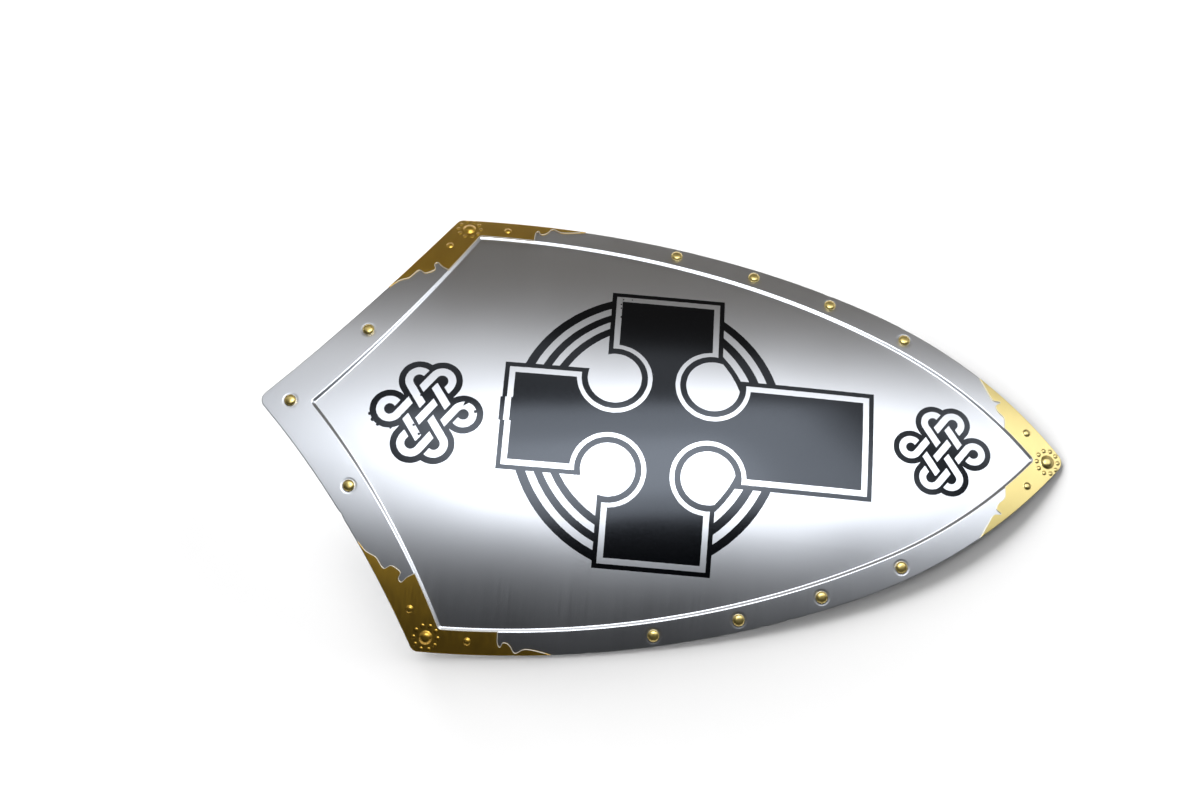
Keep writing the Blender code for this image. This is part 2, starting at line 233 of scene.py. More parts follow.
# How far to the sides a surface's slope and a line's two sides are looked at, and where along it
SHIFT = 0.00005
LOOK_SHARES = (0.15, 0.5, 0.85)

# Lengths and angles this small count as none, and mesh points this close are one
TINY, MERGED = 1e-6, 1e-7

# An empty set of edges to lay in a mesh
NO_PIECES = np.zeros((0, 2), complex)

# Metals and ink: a brass has a pale and a deep colour, and its lacquer's index of refraction.
# The corner plates and the tip plate are one brass: the corners' darker, deeper colours and
# weaker lacquer are painted shade, and the tip's paler colours and stronger lacquer are painted
# highlight
STEEL = (0.72, 0.725, 0.74)
INK, INK_SHEEN = (0.0005, 0.0006, 0.001), (0.84, 0.90, 1.0, 1.0)
CORNER_SHADED_BRASS = ((0.70, 0.41, 0.035), (0.62, 0.36, 0.03), 1.5)
TIP_HIGHLIT_BRASS = ((0.84, 0.66, 0.20), (0.79, 0.61, 0.17), 2.0)
RIVET_BRASS = ((0.90, 0.68, 0.18), (0.84, 0.62, 0.15), 2.0)
# Pale, half metallic colour painted along the brass plates' edges as a highlight
EDGE_HIGHLIGHT_PAINT = (0.78, 0.74, 0.62)

# The part of a noise's values that most of it lies in
NOISE_LOW, NOISE_HIGH = 0.3, 0.7

# Softboxes above the shield: middle, width and depth, and brightness
SOFTBOXES = (
    ((0.07, 0.14, 1.23), (0.56, 0.34), 2.2),
    ((0.137, 0.225, 1.25), (0.90, 0.69), 4.0),
    ((0.142, 0.227, 1.25), (1.08, 0.69), 1.9),
    ((1.12, 0.45, 1.25), (0.50, 0.80), 2.1),
)
SOFTBOX_COLOUR, SOFTBOX_TURN = (0.905, 0.945, 1.0), 0.345

# Broad lights on the floor: where each comes from, in degrees round and up, and its brightness
FLOOR_LIGHTS = ((45, 8, 0.09), (117, 13, 0.42), (158, 10, 0.33), (210, 10, 0.08), (345, 75, 0.04))
FLOOR_LIGHT_WIDTH = math.radians(24)
FLOOR_PALE, FLOOR_REACH = 0.86, 12.0

# The room's light, by how many degrees its direction leans from straight up towards +Y
ROOM_COLOURS = (
    (-90, (0.010, 0.010, 0.011)),
    (15, (0.008, 0.008, 0.009)),
    (38, (0.97, 0.98, 1.0)),
    (41.5, (0.115, 0.104, 0.090)),
    (90, (0.115, 0.104, 0.090)),
)

# The meshes' map of pattern coordinates
PATTERN_MAP = "pattern"

# Camera, in the photograph's place
CAMERA_PLACE = (0.02244, -0.49425, 1.44739)
CAMERA_TURN = (20.2350, 1.6984, 4.1197)
CAMERA_LENS, SENSOR_WIDTH = 51.2, 36.0


class Line:
    """A closed line of the pattern: two hollow top edges, and two sides of two arcs each."""

    def __init__(
        self, apex, corner, widest, half_width, top_radius, side_radii, upper_turn, roundings
    ):
        upper, lower = side_radii
        upper_centre = complex(widest, half_width - upper)
        turn = math.radians(90 - upper_turn)
        lower_centre = upper_centre + cmath.rect(upper - lower, turn)
        drop = math.sqrt(upper**2 - (corner - widest) ** 2)
        corner_point = complex(corner, upper_centre.imag + drop)
        half_chord = (corner_point - apex) / 2
        rise = math.sqrt(top_radius**2 - abs(half_chord) ** 2)
        top_centre = apex + half_chord * (1 + 1j * rise / abs(half_chord))
        reach = math.sqrt(lower**2 - lower_centre.imag**2)

        self.corner_point, self.tip_point = corner_point, complex(lower_centre.real + reach, 0)
        self.upper_centre, self.lower_centre = upper_centre, lower_centre
        self.top_centre, self.top_radius = top_centre, top_radius
        self.side_radii, self.turn = side_radii, turn

        top_round, corner_round, tip_round = roundings
        at_top = on_middle_line(top_centre, top_radius + top_round)
        at_tip = on_middle_line(lower_centre, lower - tip_round)
        at_corner = where_circles_meet(
            top_centre, top_radius + corner_round, upper_centre, upper - corner_round
        )
        to_top = cmath.phase(at_top - top_centre)
        to_corner = cmath.phase(at_corner - top_centre)
        from_corner = cmath.phase(at_corner - upper_centre)
        to_tip = cmath.phase(at_tip - lower_centre)
        # One half of the line, as (centre, radius, start, end, 1 if it bulges outwards or -1)
        self.arcs = (
            (at_top, top_round, math.pi, to_top + math.pi, 1),
            (top_centre, top_radius, to_top, to_corner, -1),
            (at_corner, corner_round, to_corner + math.pi, from_corner, 1),
            (upper_centre, upper, from_corner, turn, 1),
            (lower_centre, lower, turn, to_tip, 1),
            (at_tip, tip_round, to_tip, 0.0, 1),
        )

    def loop(self, offset, spacing):
        """The whole closed line, moved out by the offset, as an array of points."""
        half = []
        for centre, radius, start, end, outwards in self.arcs:
            moved = radius + outwards * offset
            swept = abs(end - start)
            steps = math.ceil(max(swept * moved / spacing, swept / LARGEST_TURN))
            turns = start + (end - start) * np.arange(steps) / steps
            half.append(centre + moved * np.exp(1j * turns))
        half = np.concatenate(half)
        tip = self.arcs[-1][0] + self.arcs[-1][1] + offset
        return np.concatenate((half, [tip], half[:0:-1].conj()))

    def offset_of(self, points):
        """How far out from the line each point lies, below zero inside it."""
        points = points.real + 1j * np.abs(points.imag)
        nearest = np.full(points.shape, -np.inf)
        for centre, radius, start, end, outwards in self.arcs:
            away = points - centre
            turn = np.angle(away * cmath.rect(1, -(start + end) / 2))
            offset = (np.abs(away) - radius) * outwards
            beside = np.abs(turn) <= abs(end - start) / 2 + TINY
            nearer = beside & (np.abs(offset) < np.abs(nearest))
            nearest[nearer] = offset[nearer]
        return nearest

    def side_point(self, along, out):
        """A point at a distance along the side from the corner, and out from the line."""
        upper, lower = self.side_radii
        angle = cmath.phase(self.corner_point - self.upper_centre) - along / upper
        if angle > self.turn:
            return self.upper_centre + cmath.rect(upper + out, angle)
        angle = self.turn - (self.turn - angle) * upper / lower
        return self.lower_centre + cmath.rect(lower + out, angle)

    def top_point(self, along, out):
        """A point at a distance along the top edge from the corner, and out from the line."""
        angle = cmath.phase(self.corner_point - self.top_centre) - along / self.top_radius
        return self.top_centre + cmath.rect(self.top_radius - out, angle)

    def tip_side_point(self, along, out):
        """A point at a distance along the side from the tip, and out from the line."""
        lower = self.side_radii[1]
        angle = cmath.phase(self.tip_point - self.lower_centre) + along / lower
        return self.lower_centre + cmath.rect(lower + out, angle)


def on_middle_line(centre, distance):
    """The point of the middle line, on the tip's side, at a distance from the centre."""
    return complex(centre.real + math.sqrt(distance**2 - centre.imag**2), 0)


def where_circles_meet(first, first_radius, second, second_radius):
    """The meeting point of two circles that lies nearer the corner."""
    between = second - first
    gap = abs(between)
    along = (gap**2 + first_radius**2 - second_radius**2) / (2 * gap)
    aside = math.sqrt(first_radius**2 - along**2)
    return first + between / gap * complex(along, aside)


OUTER = Line(
    apex=-0.0036,
    corner=0.1525,
    widest=0.1722,
    half_width=0.2117,
    top_radius=0.869,
    side_radii=(0.898, 0.471),
    upper_turn=23.7,
    roundings=(0.009, 0.008, 0.0107),
)
STEP = Line(
    apex=0.0448,
    corner=0.1744,
    widest=0.1744,
    half_width=0.1898,
    top_radius=0.776,
    side_radii=(0.837, 0.442),
    upper_turn=26.7,
    roundings=(0.003, 0.003, 0.003),
)


# From the pattern to the bent sheet
REST_TURN = np.array(Matrix.Rotation(REST_PITCH, 3, "Y"))


def bend(points, lift):
    """World places of an array of pattern points, lifted off the field's outer face."""
    angle = points.imag / BOW_RADIUS
    slope = (points.real - BOW_TOP) / LONG_BOW_RADIUS
    fall = BOW_RADIUS * (np.cos(angle) - 1) - slope**2 * LONG_BOW_RADIUS / 2
    base = np.stack((points.real, BOW_RADIUS * np.sin(angle), fall), axis=-1)
    square = np.stack((slope, np.sin(angle), np.cos(angle)), axis=-1)
    square /= np.linalg.norm(square, axis=-1, keepdims=True)
    return (base + square * np.asarray(lift)[..., None]) @ REST_TURN.T + REST_PLACE


def facing(surface, points):
    """The direction square to a surface, given as a function of pattern points."""
    along = surface(points + SHIFT) - surface(points - SHIFT)
    across = surface(points + 1j * SHIFT) - surface(points - 1j * SHIFT)
    square = np.cross(along, across)
    return square / np.linalg.norm(square, axis=-1, keepdims=True)


def wobble(points, size, wave):
    """Small smooth shifts of pattern points that change over the wavelength."""
    u, v = math.tau / wave * points.real, math.tau / wave * points.imag
    along = np.sin(v + 1.3) + np.sin(0.83 * u + 0.61 * v + 4.1) + np.sin(1.9 * u - 1.4 * v)
    across = np.sin(u + 2.7) + np.sin(0.57 * v - 0.88 * u + 0.6) + np.sin(1.7 * v + 1.2 * u + 5.0)
    return size / 3 * (along + 1j * across)


def unevenness(points):
    """How far the slightly uneven sheet dips, below zero, fading out towards the rim."""
    inside = np.clip(-OUTER.offset_of(points) / UNEVEN_MARGIN, 0, 1)
    return inside * (wobble(points, UNEVEN_DEPTH / 2, UNEVEN_WAVE).real - UNEVEN_DEPTH / 2)


def nicked(points):
    """The pattern points, pushed in where the edge has a nick."""
    moved = points.copy()
    for place, half_width, depth in NICKS:
        inwards = -place / abs(place - BOW_TOP) + BOW_TOP / abs(place - BOW_TOP)
        moved += inwards * depth * np.exp(-np.abs((points - place) / half_width) ** 2)
    return moved


def rounded(inset, width, fall):
    """How far a sheet's face falls near its rounded edge."""
    outwards = 1 - np.clip(inset / width, 0, 1)
    return fall * (1 - np.sqrt(1 - outwards**2))


def step_rise(points):
    """The height over the field: nothing inside the step, and the border's rise outside it."""
    share = np.clip(STEP.offset_of(points) / STEP_HALF_WIDTH, -1, 1)
    return BORDER_RISE * (0.5 + 0.75 * share - 0.25 * share**3)


# Sheets cut to the pattern
def is_inside(points, loops):
    """True for each point that lies inside an odd number of the closed loops."""
    inside = np.zeros(points.shape, bool)
    for loop in loops:
        for a, b in zip(loop, np.roll(loop, -1)):
            crosses = (a.imag > points.imag) != (b.imag > points.imag)
            left = ((b - a).conjugate() * (points - a)).imag > 0
            inside ^= crosses & (left == (b.imag > a.imag))
    return inside


def distance_to(points, loop):
    """How far each point lies from the nearest edge of the closed loop."""
    nearest = np.full(points.shape, np.inf)
    for a, b in zip(loop, np.roll(loop, -1)):
        share = np.clip(((points - a) * (b - a).conjugate()).real / abs(b - a) ** 2, 0, 1)
        nearest = np.minimum(nearest, np.abs(points - a - share * (b - a)))
    return nearest


def staggered_grid(loop, spacing):
    """Staggered points inside the loop."""
    low, high = loop.real.min(), loop.real.max()
    row_height = spacing * math.sqrt(0.75)
    first = math.floor(loop.imag.min() / row_height)
    rows = np.arange(first, math.ceil(loop.imag.max() / row_height) + 1)
    columns = np.arange(math.ceil((high - low) / spacing) + 1)
    along = low + spacing * (columns[None, :] + 0.5 * (rows[:, None] % 2))
    points = (along + 1j * row_height * rows[:, None]).ravel()
    return points[is_inside(points, [loop])]


def away_from(points, others, clearance):
    """Those of the points that keep a clearance from all the others."""
    tree = KDTree(len(others))
    for k, other in enumerate(others):
        tree.insert((other.real, other.imag, 0), k)
    tree.balance()
    far = [tree.find((p.real, p.imag, 0))[2] > clearance for p in points]
    return points[np.array(far, bool)]


def sides_of(loop):
    """The closed loop's edges, as pairs of ends."""
    return np.stack((loop, np.roll(loop, -1)), axis=-1)


def circle(centre, radius, count):
    """Points evenly round a circle of the pattern."""
    return centre + radius * np.exp(1j * math.tau * np.arange(count) / count)


def triangulate(boundary, lines, pieces, points):
    """Triangles that fill the boundary loops and have the lines and pieces among their edges.

    lines are closed loops, pieces are pairs of ends, and points are loose. Returns the pattern
    points, the triangles' corners and, for each boundary loop, the corners along it.
    """
    laid, edges = [], []
    count = 0
    for loop in boundary + lines:
        laid.append(loop)
        edges += [(count + k, count + (k + 1) % len(loop)) for k in range(len(loop))]
        count += len(loop)
    if len(pieces):
        laid.append(pieces.ravel())
        edges += [(count + 2 * k, count + 2 * k + 1) for k in range(len(pieces))]
    laid = np.concatenate(laid + [points])
    flat = [Vector((p.real, p.imag)) for p in laid]
    corners, _, faces, sources, _, _ = delaunay_2d_cdt(flat, edges, [], 0, MERGED)
    found = np.array([complex(c.x, c.y) for c in corners])
    faces = np.array(faces)
    middle = found[faces].mean(axis=1)
    faces = faces[is_inside(middle, boundary)]
    a, b, c = found[faces].T
    turned = ((b - a).conj() * (c - a)).imag < 0
    faces[turned] = faces[turned][:, ::-1]
    place = np.zeros(len(laid), int)
    for k, source in enumerate(sources):
        place[source] = k
    ends = np.cumsum([0] + [len(loop) for loop in boundary])
    rims = [place[start:end] for start, end in zip(ends, ends[1:])]
    return found, faces, rims


def cut_sheet(name, front, back, front_surface, back_surface, material_of, materials):
    """A sheet between two surfaces, with walls along its boundary loops.

    front and back are each (boundary, lines, pieces, points). Outer loops run to the left and
    holes to the right. material_of gives a material's number for each front triangle's middle.
    """
    front_points, front_faces, front_rims = triangulate(*front)
    back_points, back_faces, back_rims = triangulate(*back)
    count = len(front_points)
    vertices = np.concatenate((front_surface(front_points), back_surface(back_points)))
    front_square = facing(front_surface, front_points)
    square = np.concatenate((front_square, -facing(back_surface, back_points)))
    walls = []
    for top, bottom in zip(front_rims, back_rims):
        ring = (bottom + count, np.roll(bottom, -1) + count, np.roll(top, -1), top)
        walls.append(np.stack(ring, axis=-1))
    walls = np.concatenate(walls)
    across = vertices[walls[:, 1]] - vertices[walls[:, 0]]
    wall_square = np.cross(across, vertices[walls[:, 3]] - vertices[walls[:, 0]])
    wall_square /= np.linalg.norm(wall_square, axis=1, keepdims=True)

    back_corners = back_faces[:, ::-1] + count
    faces = front_faces.tolist() + back_corners.tolist() + walls.tolist()
    mesh = bpy.data.meshes.new(name)
    mesh.from_pydata(vertices.tolist(), [], faces)
    for material in materials:
        mesh.materials.append(material)
    numbers = np.zeros(len(faces), np.int32)
    numbers[: len(front_faces)] = material_of(front_points[front_faces].mean(axis=1))
    mesh.polygons.foreach_set("material_index", numbers)
    mesh.polygons.foreach_set("use_smooth", np.ones(len(faces), bool))
    smooth_corners = np.concatenate((front_faces.ravel(), back_corners.ravel()))
    corners = np.concatenate((smooth_corners, walls.ravel()))
    pattern = np.concatenate((front_points, back_points))[corners]
    pattern_map = mesh.uv_layers.new(name=PATTERN_MAP)
    pattern_map.uv.foreach_set("vector", np.stack((pattern.real, pattern.imag), axis=-1).ravel())
    normals = np.concatenate((square[smooth_corners], np.repeat(wall_square, 4, axis=0)))
    mesh.normals_split_custom_set(normals.tolist())
    return add_piece(name, mesh)


def add_piece(name, mesh):
    piece = bpy.data.objects.new(name, mesh)
    bpy.context.scene.collection.objects.link(piece)
    return piece


def stand_for(piece, node):
    """The piece is shown in place of a node of the frame."""
    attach(piece, "root")
    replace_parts(piece, node)


# The print
def arc(centre, radius, start, end, spacing=PRINT_SPACING):
    """Points along an arc, both ends included."""
    steps = max(3, math.ceil(abs(end - start) * radius / spacing))
    return centre + radius * np.exp(1j * (start + (end - start) * np.arange(steps + 1) / steps))


def cross_loop(inset, ring):
    """One outline of the cross, moved in from its edges and out from its corner discs."""
    radius = DISC_RADIUS + ring
    level, side = LONG_ARM_HALF - inset, CROSS_ARM_HALF - inset
    to_level = math.asin((level - DISC_OFFSET.imag) / radius)
    to_side = math.acos((side - DISC_OFFSET.real) / radius)
    quarter = arc(DISC_OFFSET, radius, to_level, to_side - math.tau)
    loop = []
    for x, y in ((1, 1), (-1, 1), (-1, -1), (1, -1)):
        length = (ARM_RIGHT if x > 0 else ARM_LEFT) - inset
        height = (ARM_UP if y > 0 else ARM_DOWN) - inset
        part = np.concatenate(([complex(length, level)], quarter, [complex(side, height)]))
        part = part.real * x + 1j * part.imag * y
        loop.append(part if x == y else part[::-1])
    loop = divided(np.concatenate(loop), GRID_SPACING)
    return CROSS_CENTRE + loop.real * CROSS_ALONG + loop.imag * CROSS_ACROSS


def divided(loop, spacing):
    """The closed loop with its long edges divided."""
    parts = []
    for a, b in zip(loop, np.roll(loop, -1)):
        steps = max(1, math.ceil(abs(b - a) / spacing))
        parts.append(a + (b - a) * np.arange(steps) / steps)
    return np.concatenate(parts)


def knot_loop(offset):
    """The knot's line, moved to its left by the offset, in line distances from its middle."""
    rise, fall = cmath.rect(1, KNOT_RISE), cmath.rect(1, -KNOT_FALL)
    quarter = math.pi / 2
    on_fall = END_LOOP * 1j * fall - END_ON_FALL * fall
    on_rise = END_LOOP * 1j * rise + END_ON_RISE * rise
    side = (1 + SIDE_LOOP) * where_lines_cross(-1j * rise, rise, 1j * fall, fall)
    side_turn = math.pi + KNOT_RISE + KNOT_FALL
    loops = (
        (on_fall, END_LOOP, 3 * quarter - KNOT_FALL, -math.pi),
        (side, SIDE_LOOP, -quarter - KNOT_FALL, side_turn),
        (-on_rise, END_LOOP, KNOT_RISE - quarter, -math.pi),
        (on_rise, END_LOOP, KNOT_RISE - quarter, math.pi),
        (-side, SIDE_LOOP, KNOT_RISE - quarter, -side_turn),
        (-on_fall, END_LOOP, -quarter - KNOT_FALL, math.pi),
    )
    parts = []
    for centre, radius, start, turn in loops:
        moved = max(0.0, radius - offset * math.copysign(1, turn))
        parts.append(arc(centre, moved, start, start + turn, KNOT_ARC_SPACING))
    return divided(np.concatenate(parts), KNOT_LINE_SPACING)


def where_lines_cross(first, first_way, second, second_way):
    """The meeting point of two lines, each through a point and along a way."""
    share = ((second - first) * second_way.conjugate()).imag
    return first + first_way * share / (first_way * second_way.conjugate()).imag


def knot_has_ink(points):
    """True where a knot's ink covers the points, in line distances from its middle."""
    away = distance_to(points, knot_loop(0.0))
    inked = (away > RIBBON_HALF) & (away < KNOT_REACH)
    for crossing, way in knot_crossings():
        beside = (points - crossing) / way
        here, aside = np.abs(beside.real) < CROSSING_HALF, np.abs(beside.imag)
        inked &= ~(here & (aside < RIBBON_HALF))
        inked |= here & (aside >= RIBBON_HALF) & (aside < RIBBON_HALF + RIBBON_GAP)
    return inked


def knot_crossings():
    """Where the knot's six straight lines cross, and the way of the ribbon that lies on top."""
    rise, fall = cmath.rect(1, KNOT_RISE), cmath.rect(1, -KNOT_FALL)
    for on_rise in (-1, 0, 1):
        for on_fall in (-1, 0, 1):
            place = where_lines_cross(-1j * rise * on_rise, rise, 1j * fall * on_fall, fall)
            yield place, rise if (on_rise + on_fall) % 2 == 0 else fall


def has_ink(points):
    """True where the print covers the pattern points, before its edges wobble."""
    slipped = (points.real < SLIP_END) & (points.imag > SLIP_LOW) & (points.imag < SLIP_HIGH)
    outline, line, fill = (is_inside(points + SLIP * slipped, [loop]) for loop in cross_loops())
    inked = (outline & ~line) | fill
    for centre, bands, side in ((*LEFT_RINGS, -1), (*RIGHT_RINGS, 1)):
        beyond_arms = (points - CROSS_CENTRE).real * side > CROSS_ARM_HALF - RING_OVERLAP
        away = np.abs(points - centre)
        for low, high in bands:
            inked |= beyond_arms & ~outline & (away > low) & (away < high)
    for middle, spacing in KNOTS:
        near = np.abs(points - middle) < KNOT_EXTENT * spacing
        inked[near] |= knot_has_ink((points[near] - middle) / spacing)
    for place, radius in BLOTS:
        inked |= np.abs(points - place) < radius
    return inked


def cross_loops():
    """The cross's three outlines: its outer edge, and both edges of the bare line along it."""
    return [cross_loop(inset, ring) for inset, ring in zip(OUTLINE_INSETS, DISC_RINGS)]


def printed(points):
    """True where the print covers the pattern points."""
    return has_ink(points - wobble(points, PRINT_WOBBLE, PRINT_WAVE))


def print_outlines():
    """The print's outlines, as pairs of ends: the edges that have ink on one side only."""
    loops = cross_loops()
    loops += [loop - SLIP for loop in loops]
    loops += [circle(place, radius, BLOT_TURNS) for place, radius in BLOTS]
    for centre, bands in (LEFT_RINGS, RIGHT_RINGS):
        for radius in (radius for band in bands for radius in band):
            loops.append(circle(centre, radius, math.ceil(math.tau * radius / PRINT_SPACING)))
    pieces = [sides_of(loop) for loop in loops]
    for level in (SLIP_LOW, SLIP_HIGH):
        row = SLIP_END - np.arange(SLIP_STEPS) * PRINT_SPACING + 1j * level
        pieces.append(np.stack((row[:-1], row[1:]), axis=-1))
    for middle, spacing in KNOTS:
        for offset in (RIBBON_HALF, -RIBBON_HALF, KNOT_REACH, -KNOT_REACH):
            pieces.append(middle + spacing * sides_of(knot_loop(offset)))
        for crossing, way in knot_crossings():
            for side in (-1, 1):
                beside = crossing + way * 1j * side * (RIBBON_HALF + RIBBON_GAP)
                row = beside + way * CROSSING_POINTS
                pieces.append(middle + spacing * np.stack((row[:-1], row[1:]), axis=-1))
    pieces = np.concatenate(pieces)
    pieces = pieces[np.abs(pieces[:, 1] - pieces[:, 0]) > TINY]
    way = pieces[:, 1] - pieces[:, 0]
    aside = 1j * way / np.abs(way) * SHIFT
    needed = np.zeros(len(pieces), bool)
    for share in LOOK_SHARES:
        middle = pieces[:, 0] + share * way
        needed |= has_ink(middle + aside) != has_ink(middle - aside)
    pieces = pieces[needed]
    return pieces + wobble(pieces, PRINT_WOBBLE, PRINT_WAVE)


# Materials
def make_material(name, colour, metallic, roughness):
    """A new material with its shader's own values set, and the shader."""
    material = bpy.data.materials.new(name)
    material.use_nodes = True
    shader = material.node_tree.nodes["Principled BSDF"]
    shader.inputs["Base Color"].default_value = (*colour, 1.0)
    shader.inputs["Metallic"].default_value = metallic
    shader.inputs["Roughness"].default_value = roughness
    return material, shader


def add_node(owner, kind, inputs=None, **values):
    """A node of a material or a world with its settings, and its inputs linked or set."""
    node = owner.node_tree.nodes.new("ShaderNode" + kind)
    for name, value in values.items():
        setattr(node, name, value)
    for name, value in (inputs or {}).items():
        if isinstance(value, bpy.types.NodeSocket):
            owner.node_tree.links.new(value, node.inputs[name])
        else:
            node.inputs[name].default_value = value
    return node


def noise(material, place, scale, detail):
    """Noise with its own number of spots a metre along each axis of the place."""
    spread = add_node(material, "Mapping", {"Vector": place, "Scale": scale}).outputs[0]
    inputs = {"Vector": spread, "Scale": 1.0, "Detail": detail}
    return add_node(material, "TexNoise", inputs).outputs[0]


def stretched_noise(material, scale, detail=2.0):
    """Noise in the object's own metres, along each of its axes."""
    return noise(material, add_node(material, "TexCoord").outputs["Object"], scale, detail)


def brushed_noise(material, along, across):
    """Noise in the pattern's metres, along the shield and across it."""
    place = add_node(material, "UVMap", uv_map=PATTERN_MAP).outputs[0]
    return noise(material, place, (along, across, 1.0), 2.0)


def link(material, value, shader, name):
    material.node_tree.links.new(value, shader.inputs[name])


def vary_roughness(material, shader, value, low, high):
    """Roughness from low to high over the usual middle part of a noise."""
    limits = {"From Min": NOISE_LOW, "From Max": NOISE_HIGH, "To Min": low, "To Max": high}
    rough = add_node(material, "MapRange", {"Value": value, **limits})
    link(material, rough.outputs[0], shader, "Roughness")


def add_bump(material, shader, height, strength, distance):
    """Low relief that only shades the surface, with its height from a noise."""
    inputs = {"Height": height, "Strength": strength, "Distance": distance}
    link(material, add_node(material, "Bump", inputs).outputs[0], shader, "Normal")


def make_steel():
    """Steel brushed across the shield, so that its sheen spreads more along it."""
    material, shader = make_material("brushed steel", STEEL, metallic=1.0, roughness=0.375)
    shader.inputs["Anisotropic"].default_value = 0.43
    tangent = add_node(material, "Tangent", direction_type="UV_MAP", uv_map=PATTERN_MAP)
    link(material, tangent.outputs[0], shader, "Tangent")
    streaks = brushed_noise(material, along=1100.0, across=9.0)
    cloud = brushed_noise(material, along=9.0, across=7.0)
    both = add_node(material, "Math", {0: streaks, 1: cloud}, operation="ADD").outputs[0]
    half = add_node(material, "Math", {0: both, 1: 0.5}, operation="MULTIPLY").outputs[0]
    vary_roughness(material, shader, half, low=0.345, high=0.405)
    add_bump(material, shader, streaks, strength=0.3, distance=0.00004)
    return material


def make_ink():
    """Glossy black ink with a fine grain."""
    material, shader = make_material("black print", INK, metallic=0.0, roughness=0.14)
    shader.inputs["Specular IOR Level"].default_value = 0.56
    shader.inputs["Specular Tint"].default_value = INK_SHEEN
    grain = stretched_noise(material, (600.0, 600.0, 600.0))
    vary_roughness(material, shader, grain, low=0.14, high=0.18)
    add_bump(material, shader, grain, strength=0.15, distance=0.00002)
    return material


def make_brass(name, pale, deep, lacquer_index):
    """Lacquered brass, finely brushed across the shield."""
    material, shader = make_material(name, pale, metallic=1.0, roughness=0.36)
    shader.inputs["Coat Weight"].default_value = 1.0
    shader.inputs["Coat Roughness"].default_value = 0.3
    shader.inputs["Coat IOR"].default_value = lacquer_index
    streaks = stretched_noise(material, (1600.0, 60.0, 120.0))
    cloud = stretched_noise(material, (30.0, 30.0, 30.0), detail=4.0)
    colours = {"Fac": cloud, "Color1": (*pale, 1.0), "Color2": (*deep, 1.0)}
    link(material, add_node(material, "MixRGB", colours).outputs[0], shader, "Base Color")
    vary_roughness(material, shader, streaks, low=0.30, high=0.42)
    add_bump(material, shader, streaks, strength=0.2, distance=0.00003)
    return material


# The steel plate
def rivet_places():
    """Each rivet's node and its point of the pattern. Left is the side at +Y."""
    places = {"rivet_top_point": complex(TOP_POINT_RIVET, 0)}
    half = {"rivet_top_edge": STEP.top_point(*TOP_EDGE_RIVET)}
    for k in range(SIDE_RIVETS):
        along = SIDE_RIVET_FIRST + k * SIDE_RIVET_PITCH
        half[f"rivet_side_{k + 1}"] = STEP.side_point(along, SIDE_RIVET_ACROSS)
    for name, point in half.items():
        places[name + "_left"] = point
        places[name + "_right"] = point.conjugate()
    return places


def seat_dip(points):
    """How deep the rivets have pulled the sheet in round their heads."""
    dip = np.zeros(points.shape)
    for place in rivet_places().values():
        out = np.clip((np.abs(points - place) - SEAT_RADIUS) / SEAT_WIDTH, 0, 1)
        dip = np.maximum(dip, SEAT_DEPTH * (1 - out * out * (3 - 2 * out)))
    return dip


def plate_front(points):
    fall = rounded(-OUTER.offset_of(points), STEEL_ROUNDING, STEEL_EDGE_FALL) + seat_dip(points)
    return bend(nicked(points), step_rise(points) + unevenness(points) - fall)


def plate_back(points):
    rise = rounded(-OUTER.offset_of(points), STEEL_ROUNDING, STEEL_EDGE_FALL) - seat_dip(points)
    lift = step_rise(points) + unevenness(points) - STEEL_THICKNESS
    return bend(nicked(points), lift + rise)


def grid_between(outline, spacing, laid):
    """Staggered points inside the outline, clear of the points that are already laid."""
    return away_from(staggered_grid(outline, spacing), laid, spacing * GRID_CLEARANCE)


def make_plate(steel, ink):
    outline = OUTER.loop(0, OUTLINE_SPACING)[::-1]
    places = rivet_places().values()
    boundary = [outline] + [circle(place, RIVET_HOLE_RADIUS, HOLE_TURNS)[::-1] for place in places]
    lines = [OUTER.loop(-STEEL_ROUNDING * share, OUTLINE_SPACING) for share in EDGE_LINES]
    lines += [STEP.loop(STEP_HALF_WIDTH * share, OUTLINE_SPACING) for share in STEP_LINES]
    seats = [circle(place, radius, SEAT_TURNS) for place in places for radius in SEAT_RINGS]
    print_edges = print_outlines()
    laid = np.concatenate(boundary + lines + seats + [print_edges.ravel()])
    front_grid = grid_between(outline, GRID_SPACING, laid)
    back_grid = grid_between(outline, BACK_SPACING, np.concatenate(boundary + lines))
    plate = cut_sheet(
        "steel_plate",
        (boundary, lines + seats, print_edges, front_grid),
        (boundary, lines, NO_PIECES, back_grid),
        plate_front,
        plate_back,
        lambda middles: printed(middles).astype(np.int32),
        (steel, ink),
    )
    stand_for(plate, "shield_plate")
    return plate


# The brass plates
def stretch(loop, start, end):
    """The loop's points from the one nearest the start up to the one nearest the end."""
    first, last = np.argmin(np.abs(loop - start)), np.argmin(np.abs(loop - end))
    if last < first:
        last += len(loop)
    return np.roll(loop, -first)[: last - first + 1]


def torn_end(place, points):
    """A curve through a torn end's points, each placed by its distances along and out."""
    points = np.array([place(along * MILLIMETRE, out * MILLIMETRE) for along, out in points])
    before = np.concatenate(([2 * points[0] - points[1]], points[:-2]))
    after = np.concatenate((points[2:], [2 * points[-1] - points[-2]]))
    curve = []
    for a, b, c, d in zip(before, points[:-1], points[1:], after):
        square, cube = 2 * a - 5 * b + 4 * c - d, 3 * b - a - 3 * c + d
        for share in np.arange(TORN_STEPS) / TORN_STEPS:
            curve.append(b + 0.5 * ((c - a) * share + square * share**2 + cube * share**3))
    return np.array(curve + [points[-1]])


def brass_outline(from_end, to_end):
    """The closed outline of a brass plate, between two torn ends that run inside to outside."""
    inner = stretch(STEP.loop(BRASS_INNER, OUTLINE_SPACING), from_end[0], to_end[0])[1:-1]
    outer = stretch(OUTER.loop(-BRASS_INSET, OUTLINE_SPACING), from_end[-1], to_end[-1])
    return np.concatenate((inner, to_end, outer[::-1], from_end[::-1]))


